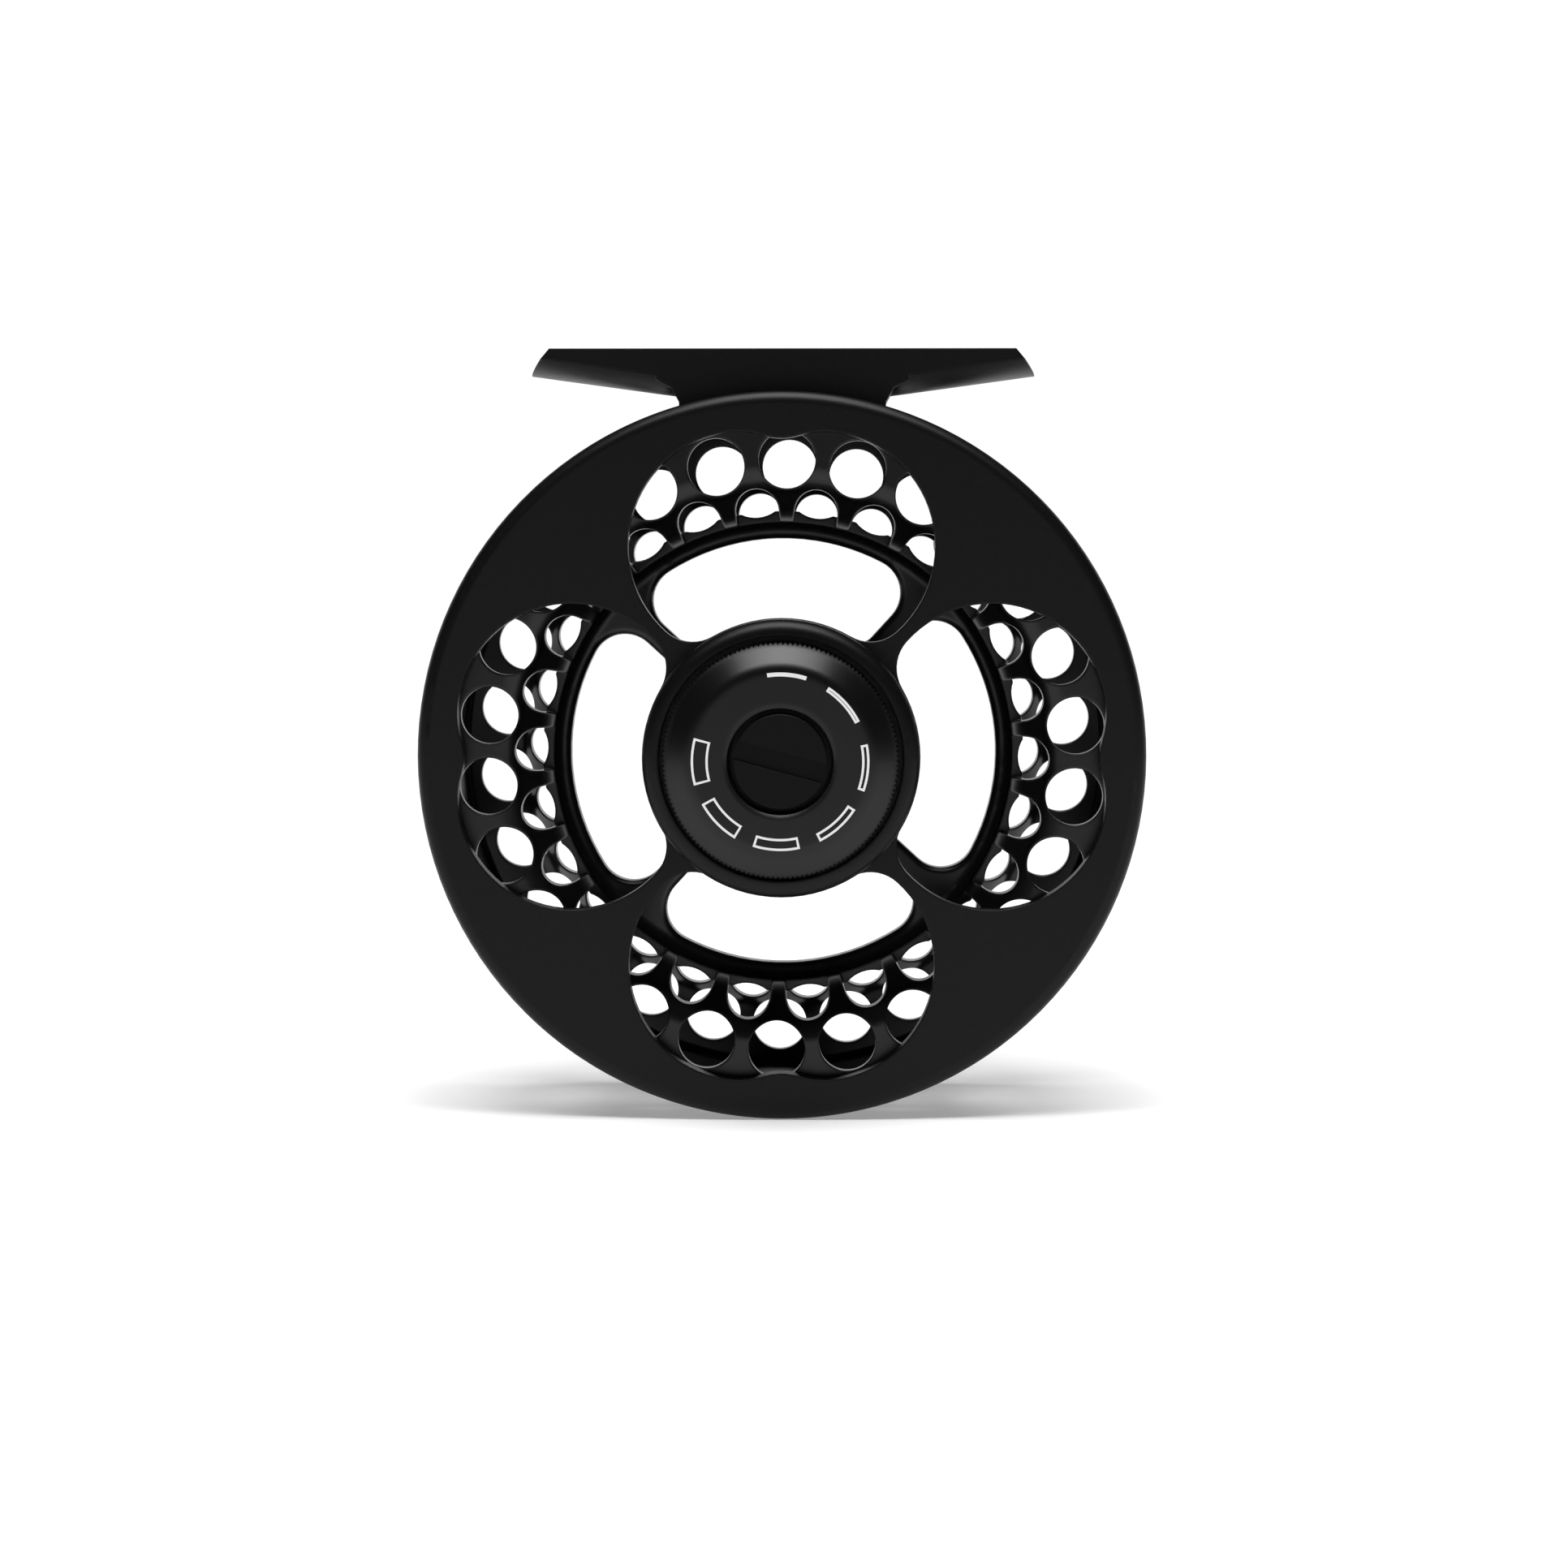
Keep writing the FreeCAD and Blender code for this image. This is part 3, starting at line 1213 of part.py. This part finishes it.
def make_knob():
    """The drag knob: knurled skirt, domed shoulder, flat face and a hole for its cap screw."""
    radius = D.knob_radius
    knob = turned("drag_knob", [
        (D.knob_pocket_radius, D.knob_back),
        (radius - 0.5, D.knob_back),
        (radius, D.knob_back - 0.5),
        (radius, D.knob_shoulder),
        (radius - 0.5, D.knob_shoulder - 0.35),
        (D.knob_face_radius, D.knob_face),
        (D.knob_hole_radius, D.knob_face),
        (D.knob_hole_radius, D.knob_seat),
        (D.cap_shank_radius + 1.1, D.knob_seat),
        (D.cap_shank_radius + 1.1, D.knob_pocket_depth),
        (D.knob_pocket_radius, D.knob_pocket_depth),
    ])
    fillet(knob, "knob_dome", D.knob_dome_round, circle_at(D.knob_face_radius, D.knob_face))
    notch = sketch_on(knob, "knurl", "XZ_Plane", shift=-D.knob_shoulder + 0.2)
    draw_polygon(notch, [
        (radius - D.knurl_depth, fixed(0)),
        (radius + 0.1, D.knurl_half_width * 1.3),
        (radius + 0.1, -D.knurl_half_width * 1.3),
    ])
    repeat(knob, extrude(knob, notch, "Pocket", -D.knob_shoulder + D.hub_front + 0.9), D.knurl_count)
    cap = turned("knob_cap_screw", [
        (fixed(0), D.cap_front),
        (D.cap_radius - 0.15, D.cap_front),
        (D.cap_radius, D.cap_front + 0.15),
        (D.cap_radius, D.knob_seat - 0.05),
        (D.cap_shank_radius + 1.06, D.knob_seat - 0.05),
        (D.cap_shank_radius + 1.06, D.boss_front - 0.05),
        (D.cap_shank_radius, D.boss_front - 0.05),
        (D.cap_shank_radius, D.spindle_front + 3.8),
        (fixed(0), D.spindle_front + 3.8),
    ])
    slot = sketch_on(cap, "cap_slot", "XZ_Plane", shift=-D.cap_front + 1, turn=D.cap_slot_angle)
    reach = D.cap_radius + 1
    half = D.cap_slot_width / 2
    draw_polygon(slot, [(-reach, -half), (reach, -half), (reach, half), (-reach, half)])
    extrude(cap, slot, "Pocket", D.cap_slot_depth + 1)
    DOC.recompute()
    return [place(knob), place(cap)]


def make_detent():
    """The ball and the coned disc spring that make the knob click as it turns."""
    across, up = polar(D.detent_orbit, fixed(60))
    item = ball("detent_ball", D.detent_radius, D.detent_centre)
    front = D.detent_centre + 1.37
    spring = coned_disc("detent_spring", D.detent_radius * 0.25, D.detent_radius * 0.95, front, front + 0.35)
    return [place(item, across, up), place(spring, across, up)]


def make_click():
    """The click that sounds as the spool turns: a notched ring, a pin and its spring."""
    inner = D.housing_bore + 0.1
    gear = ring("click_ring", inner, D.housing_radius - 0.1, D.housing_end, D.click_ring_back)
    notch = sketch_on(gear, "click_notch", "XZ_Plane", shift=-D.housing_end + 1)
    draw_circle(notch, D.click_notch_radius, inner, fixed(0))
    repeat(gear, extrude(gear, notch, "Pocket"), D.click_notch_count)
    across, up = polar(D.click_orbit, fixed(30) + D.spool_turn)
    pin = rod("click_pin", D.click_radius, D.spool_hub_front - 0.2, D.click_pin_back)
    hole = D.click_radius * 0.3
    edge = D.click_radius * 0.94
    front = D.click_pin_back + 0.52
    discs = [
        coned_disc("click_spring_front", hole, edge, front, front + 0.28),
        coned_disc("click_spring_back", hole, edge, front + 0.68, front + 0.4),
    ]
    spring = group("click_spring", discs)
    return [place(gear), place(pin, across, up), place(spring, across, up)]


# --- handle ------------------------------------------------------------------------------------------

def make_handle():
    """The handle: a pin screwed into the spool, two bushes, the knob that spins on them and its screw."""
    across, up = polar(D.handle_orbit, fixed(45) + D.spool_turn)
    pin_back = D.handle_back - 3
    bush = D.handle_bush_radius
    gap = D.running_gap
    pin = turned("handle_pin", [
        (fixed(0), D.flange_back - D.flange_thickness),
        (D.handle_pin_radius - gap, D.flange_back - D.flange_thickness),
        (D.handle_pin_radius - gap, D.flange_back + 0.02),
        (D.handle_foot_radius - 1.6, D.flange_back + 0.02),
        (D.handle_foot_radius - 1.6, D.handle_front + 0.5),
        (D.handle_pin_radius, D.handle_front + 0.5),
        (D.handle_pin_radius, pin_back),
        (fixed(0.9), pin_back),
        (fixed(0.9), pin_back - 4),
        (fixed(0), pin_back - 4),
    ])
    bushes = [ring("handle_bush_front", D.handle_pin_radius + gap, bush, D.handle_front + 1, D.handle_front + 6),
              ring("handle_bush_back", D.handle_pin_radius + gap, bush, pin_back - 5, pin_back)]
    screw = turned("handle_screw", [
        (fixed(0), pin_back - 3.8),
        (fixed(0.86), pin_back - 3.8),
        (fixed(0.86), pin_back + 0.05),
        (bush + 0.5, pin_back + 0.05),
        (bush + 0.5, pin_back + 1.2),
        (bush - 0.2, pin_back + 1.9),
        (fixed(0), pin_back + 1.9),
    ])
    slot = sketch_on(screw, "handle_screw_slot", "XZ_Plane", shift=-pin_back - 3)
    draw_polygon(slot, [(fixed(-5), fixed(-0.4)), (fixed(5), fixed(-0.4)),
                        (fixed(5), fixed(0.4)), (fixed(-5), fixed(0.4))])
    extrude(screw, slot, "Pocket", fixed(1.9), backwards=True)
    knob = make_handle_knob(pin_back, bush)
    DOC.recompute()
    return [place(item, across, up) for item in (pin, group("handle_bushes", bushes), screw, knob)]


def make_handle_knob(pin_back, bush):
    """The grip: a waisted barrel, hollowed at its end for the screw."""
    gap = D.running_gap
    front = D.handle_front + 1
    length = D.handle_back - front
    knob = turned("handle_knob", [
        (bush, front),
        (D.handle_foot_radius, front),
        (D.handle_foot_radius, front + 2.2),
        (D.handle_waist_radius, front + length * 0.3),
        (D.handle_head_radius, front + length * 0.78),
        (D.handle_end_radius, D.handle_back),
        (bush + 0.9, D.handle_back),
        (bush + 0.9, pin_back + 0.02),
        (bush, pin_back + 0.02),
    ])
    for name, radius, along, size in (
            ("foot", D.handle_foot_radius, front, fixed(0.5)),
            ("waist", D.handle_waist_radius, front + length * 0.3, fixed(9)),
            ("head", D.handle_head_radius, front + length * 0.78, fixed(6)),
            ("end", D.handle_end_radius, D.handle_back, fixed(0.3))):
        fillet(knob, "handle_" + name, size, circle_at(radius, along))
    return knob


# --- document ----------------------------------------------------------------------------------------

def check_document():
    """Stops if an object failed to recompute."""
    failed = [item.Label for item in DOC.Objects if "Invalid" in item.State or "Error" in item.State]
    if failed:
        raise RuntimeError("failed to recompute: " + ", ".join(failed))


def write_parts(parts):
    """Checks each sub-part's shape and writes it under its label."""
    os.makedirs("parts", exist_ok=True)
    for item in parts:
        if item.Shape.isNull() or not item.Shape.isValid():
            raise RuntimeError("%s has no valid shape" % item.Label)
    for item in parts:
        item.Shape.exportStep("parts/%s.step" % item.Label)
        print("%-22s %9.2f mm3" % (item.Label, item.Shape.Volume))


def build():
    parts = [make_frame(), make_foot(), make_foot_screws(), make_spool()]
    parts += make_spool_fittings()
    parts += make_spindle()
    parts += make_bearing("front_bearing", D.front_bearing)
    parts += make_bearing("rear_bearing", D.rear_bearing)
    parts += make_drum()
    parts += make_clutch()
    parts += make_drag_stack()
    parts += make_adjuster()
    parts += make_knob()
    parts += make_detent()
    parts += make_click()
    parts += make_handle()
    DOC.recompute()
    check_document()
    write_parts(parts)


DOC = FreeCAD.newDocument("fly_reel")
D = Dimensions(DOC)
build()
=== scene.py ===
import math

import bpy
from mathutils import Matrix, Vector


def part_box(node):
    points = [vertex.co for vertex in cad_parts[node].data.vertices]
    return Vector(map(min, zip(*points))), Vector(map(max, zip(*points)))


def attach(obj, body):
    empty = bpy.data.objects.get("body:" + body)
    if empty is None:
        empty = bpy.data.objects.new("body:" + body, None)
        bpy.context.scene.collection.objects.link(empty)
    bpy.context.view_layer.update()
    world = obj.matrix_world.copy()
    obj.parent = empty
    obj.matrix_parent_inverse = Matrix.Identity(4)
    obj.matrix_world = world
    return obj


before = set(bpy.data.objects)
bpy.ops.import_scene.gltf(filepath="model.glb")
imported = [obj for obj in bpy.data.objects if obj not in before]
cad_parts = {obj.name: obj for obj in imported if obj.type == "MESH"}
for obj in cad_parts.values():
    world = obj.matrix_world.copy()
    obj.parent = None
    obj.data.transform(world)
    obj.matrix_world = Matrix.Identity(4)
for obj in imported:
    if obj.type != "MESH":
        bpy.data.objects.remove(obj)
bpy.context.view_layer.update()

MM = 0.001

# The knob is centred on the reel's axis, and the round rim of the frame stands on the floor.
KNOB_LOW, KNOB_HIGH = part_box("drag_knob")
AXIS_UP = (KNOB_LOW.z + KNOB_HIGH.z) / 2
RIM_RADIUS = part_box("frame")[1].x
FLOOR_UP = AXIS_UP - RIM_RADIUS


# --- materials -----------------------------------------------------------------------------------

EDGE_SAMPLES = 6
BLAST_GRAIN = 0.16 * MM
BLAST_HEIGHT = BLAST_GRAIN / 4
BLAST_DETAIL = 2.0


def new_material(name, colour, roughness, metallic=0.0, specular=0.5):
    """A Principled material with its constants set on the shader itself."""
    material = bpy.data.materials.new(name)
    material.use_nodes = True
    shader = material.node_tree.nodes["Principled BSDF"]
    shader.inputs["Base Color"].default_value = (*colour, 1.0)
    shader.inputs["Roughness"].default_value = roughness
    shader.inputs["Metallic"].default_value = metallic
    shader.inputs["Specular IOR Level"].default_value = specular
    return material


def round_edges(material, radius, blast=0.0):
    """Softens hard edges so that they catch the light, and adds a fine blasted grain if asked to."""
    tree = material.node_tree
    shader = tree.nodes["Principled BSDF"]
    edge = tree.nodes.new("ShaderNodeBevel")
    edge.samples = EDGE_SAMPLES
    edge.inputs["Radius"].default_value = radius
    if not blast:
        tree.links.new(edge.outputs["Normal"], shader.inputs["Normal"])
        return material
    place = tree.nodes.new("ShaderNodeTexCoord")
    noise = tree.nodes.new("ShaderNodeTexNoise")
    noise.inputs["Scale"].default_value = 1.0 / BLAST_GRAIN
    noise.inputs["Detail"].default_value = BLAST_DETAIL
    bump = tree.nodes.new("ShaderNodeBump")
    bump.inputs["Strength"].default_value = blast
    bump.inputs["Distance"].default_value = BLAST_HEIGHT
    tree.links.new(place.outputs["Object"], noise.inputs["Vector"])
    tree.links.new(noise.outputs["Fac"], bump.inputs["Height"])
    tree.links.new(edge.outputs["Normal"], bump.inputs["Normal"])
    tree.links.new(bump.outputs["Normal"], shader.inputs["Normal"])
    return material


BLACK = (0.0022, 0.0022, 0.0026)

# The black finishes also give the radius that their edges are softened by.
MATERIALS = {
    "frame": round_edges(new_material("frame_anodise", BLACK, 0.38, specular=0.18), 0.32 * MM, blast=0.3),
    "spool": round_edges(new_material("spool_anodise", BLACK, 0.3, specular=0.35), 0.4 * MM),
    "knob": round_edges(new_material("knob_anodise", BLACK, 0.3, specular=0.3), 0.9 * MM),
    "cap": round_edges(new_material("cap_anodise", BLACK, 0.45, specular=0.12), 0.1 * MM),
    "grip": round_edges(new_material("grip_black", (0.01, 0.01, 0.011), 0.4), 0.3 * MM),
    "screw": round_edges(new_material("screw_black_oxide", (0.03, 0.03, 0.032), 0.35, 0.8), 0.08 * MM),
    "aluminium": new_material("bare_aluminium", (0.6, 0.6, 0.62), 0.3, 1.0),
    "steel": new_material("steel", (0.52, 0.52, 0.53), 0.28, 1.0),
    "bright": new_material("bright_steel", (0.75, 0.75, 0.76), 0.12, 1.0),
    "brass": new_material("brass", (0.72, 0.53, 0.24), 0.3, 1.0),
    "lining": new_material("friction_lining", (0.03, 0.03, 0.03), 0.6),
    "acetal": new_material("acetal", (0.8, 0.8, 0.77), 0.4),
    "rubber": new_material("seal_rubber", (0.02, 0.02, 0.02), 0.6),
    "print": new_material("mark_print", (0.82, 0.82, 0.82), 0.6),
}

NODE_LOOKS = {
    "frame": ["frame", "reel_foot"],
    "spool": ["spool", "spool_cap", "counterweight"],
    "knob": ["drag_knob"],
    "cap": ["knob_cap_screw"],
    "grip": ["handle_knob"],
    "screw": ["foot_screws", "cap_screws", "handle_screw", "handle_pin"],
    "aluminium": ["clutch_hub", "drag_cover", "pressure_plate", "drag_drum"],
    "steel": ["spindle", "spindle_circlip", "cover_circlip", "snap_ring", "clutch_shell", "drag_rotor",
              "push_pins", "spring_washers", "click_pin", "click_ring", "click_spring", "detent_spring"],
    "bright": ["front_bearing_inner_race", "front_bearing_outer_race", "front_bearing_balls",
               "rear_bearing_inner_race", "rear_bearing_outer_race", "rear_bearing_balls",
               "clutch_rollers", "detent_ball"],
    "brass": ["adjuster_nut"],
    "lining": ["front_friction_disc", "rear_friction_disc"],
    "acetal": ["clutch_cage", "handle_bushes"],
    "rubber": ["shaft_seal", "hub_o_ring"],
}


def dress_nodes():
    """Gives every node of the frame the material of its kind."""
    for look, nodes in NODE_LOOKS.items():
        for node in nodes:
            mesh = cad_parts[node].data
            mesh.materials.clear()
            mesh.materials.append(MATERIALS[look])


# --- drag scale ----------------------------------------------------------------------------------

MARK_RADIUS = 9.77 * MM
MARK_LINE = 0.26 * MM
MARK_FACE = KNOB_LOW.y
MARK_PROUD = 0.02 * MM
MARK_STEP = math.radians(1.5)

# Each mark's middle, in degrees from +X towards +Z, its span in degrees and its width in millimetres.
MARKS = [
    (85.5, 26.0, 0.44),
    (42.0, 30.0, 0.58),
    (-4.0, 31.0, 0.80),
    (-48.0, 31.0, 0.98),
    (-92.5, 31.0, 1.33),
    (-136.0, 31.0, 1.60),
    (180.0, 31.0, 1.87),
]


def arc_slab(vertices, faces, inner, outer, start, finish):
    """Adds a flat curved bar, thin along Y, between two radii and two angles in radians."""
    steps = max(1, math.ceil(abs(finish - start) / MARK_STEP))
    first = len(vertices)
    for index in range(steps + 1):
        angle = start + (finish - start) * index / steps
        across, up = math.cos(angle), math.sin(angle)
        for radius in (inner, outer):
            for depth in (MARK_FACE - MARK_PROUD, MARK_FACE + MARK_PROUD):
                vertices.append((radius * across, depth, AXIS_UP + radius * up))
    for index in range(steps):
        here = first + 4 * index
        after = here + 4
        faces.append((here, here + 2, after + 2, after))
        faces.append((here + 3, here + 1, after + 1, after + 3))
        faces.append((here + 1, here, after, after + 1))
        faces.append((here + 2, here + 3, after + 3, after + 2))
    last = first + 4 * steps
    faces.append((first, first + 1, first + 3, first + 2))
    faces.append((last + 1, last, last + 2, last + 3))


def make_mark(number, middle, span, width):
    """One mark of the drag scale: an outlined arc, or a solid one where it is too thin to be open."""
    outer = MARK_RADIUS
    inner = outer - width * MM
    start = math.radians(middle - span / 2)
    finish = math.radians(middle + span / 2)
    vertices, faces = [], []
    if width * MM < 2 * MARK_LINE:
        arc_slab(vertices, faces, inner, outer, start, finish)
    else:
        end = MARK_LINE / outer
        arc_slab(vertices, faces, outer - MARK_LINE, outer, start, finish)
        arc_slab(vertices, faces, inner, inner + MARK_LINE, start, finish)
        for begin in (start, finish - end):
            arc_slab(vertices, faces, inner + MARK_LINE, outer - MARK_LINE, begin, begin + end)
    mesh = bpy.data.meshes.new("drag_mark_%d" % number)
    mesh.from_pydata(vertices, [], faces)
    mesh.materials.append(MATERIALS["print"])
    mark = bpy.data.objects.new(mesh.name, mesh)
    bpy.context.scene.collection.objects.link(mark)
    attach(mark, "drag_knob")


# --- studio --------------------------------------------------------------------------------------

FLOOR_REACH = 4.0
FLOOR_COLOUR = 0.8
FLOOR_GLOW = 0.28
WALL_PLACE = 2.0
WALL_TOP = 1.2
WALL_COLOUR = 0.0
WALL_GLOW = 1.02
PAPER_ROUGHNESS = 0.9
SUN_STRENGTH = 2.1
SUN_ANGLE = math.radians(35)
SUN_PLACE = (0.0, -0.02, 1.0)
BOX_POWER = 3.4
BOX_PLACE = (0.0, -0.28, 0.6)
BOX_LENGTH = 0.6
BOX_WIDTH = 0.14
ROOM_LIGHT = 0.045


def make_sheet(name, corners, colour, glow):
    """A flat sheet of the white set, part lit and part glowing."""
    mesh = bpy.data.meshes.new(name)
    mesh.from_pydata(corners, [], [(0, 1, 2, 3)])
    paper = new_material(name + "_paper", (colour,) * 3, PAPER_ROUGHNESS, specular=0.0)
    shader = paper.node_tree.nodes["Principled BSDF"]
    shader.inputs["Emission Color"].default_value = (1.0, 1.0, 1.0, 1.0)
    shader.inputs["Emission Strength"].default_value = glow
    mesh.materials.append(paper)
    sheet = bpy.data.objects.new(name, mesh)
    bpy.context.scene.collection.objects.link(sheet)


def make_set():
    """A white floor that the rim stands on, and a white wall behind it."""
    reach = FLOOR_REACH
    floor_corners = [(-reach, -reach, FLOOR_UP), (reach, -reach, FLOOR_UP),
                     (reach, WALL_PLACE, FLOOR_UP), (-reach, WALL_PLACE, FLOOR_UP)]
    wall_corners = [(-reach, WALL_PLACE, FLOOR_UP), (reach, WALL_PLACE, FLOOR_UP),
                    (reach, WALL_PLACE, WALL_TOP), (-reach, WALL_PLACE, WALL_TOP)]
    make_sheet("floor", floor_corners, FLOOR_COLOUR, FLOOR_GLOW)
    make_sheet("wall", wall_corners, WALL_COLOUR, WALL_GLOW)


def aim(item, target):
    """Turns a light so that it faces a point."""
    direction = Vector(target) - item.location
    item.rotation_euler = direction.to_track_quat("-Z", "Y").to_euler()


def make_light(name, kind, place, target, energy, **settings):
    data = bpy.data.lights.new(name, kind)
    data.energy = energy
    for key, value in settings.items():
        setattr(data, key, value)
    light = bpy.data.objects.new(name, data)
    light.location = place
    bpy.context.scene.collection.objects.link(light)
    aim(light, target)


def make_studio():
    """The set, a soft overhead sun, a long soft box above the front, and a dim even room."""
    make_set()
    centre = (0.0, 0.0, AXIS_UP)
    make_light("overhead_sun", "SUN", SUN_PLACE, centre, SUN_STRENGTH, angle=SUN_ANGLE)
    make_light("overhead_box", "AREA", BOX_PLACE, centre, BOX_POWER, shape="RECTANGLE",
               size=BOX_LENGTH, size_y=BOX_WIDTH)
    world = bpy.data.worlds.new("room")
    world.use_nodes = True
    background = world.node_tree.nodes["Background"]
    background.inputs["Color"].default_value = (1.0, 1.0, 1.0, 1.0)
    background.inputs["Strength"].default_value = ROOM_LIGHT
    bpy.context.scene.world = world


# --- camera --------------------------------------------------------------------------------------

CAMERA_PLACE = (5.63 * MM, -420.1 * MM, -26.7 * MM)
CAMERA_DOWN = math.radians(3.18)
CAMERA_LEFT = math.radians(0.755)
CAMERA_LENS = 83.0
CAMERA_SENSOR = 36.0
NEAREST_SEEN = 0.01
FURTHEST_SEEN = 50.0


def make_camera():
    """A camera in front of the knob and above the axis, looking slightly down at the reel."""
    data = bpy.data.cameras.new("camera")
    data.lens = CAMERA_LENS
    data.sensor_width = CAMERA_SENSOR
    data.clip_start = NEAREST_SEEN
    data.clip_end = FURTHEST_SEEN
    camera = bpy.data.objects.new("camera", data)
    camera.location = CAMERA_PLACE
    camera.rotation_euler = (math.pi / 2 - CAMERA_DOWN, 0.0, CAMERA_LEFT)
    bpy.context.scene.collection.objects.link(camera)
    bpy.context.scene.camera = camera


dress_nodes()
for number, (middle, span, width) in enumerate(MARKS, start=1):
    make_mark(number, middle, span, width)
make_studio()
make_camera()
bpy.context.scene.view_settings.view_transform = "Standard"
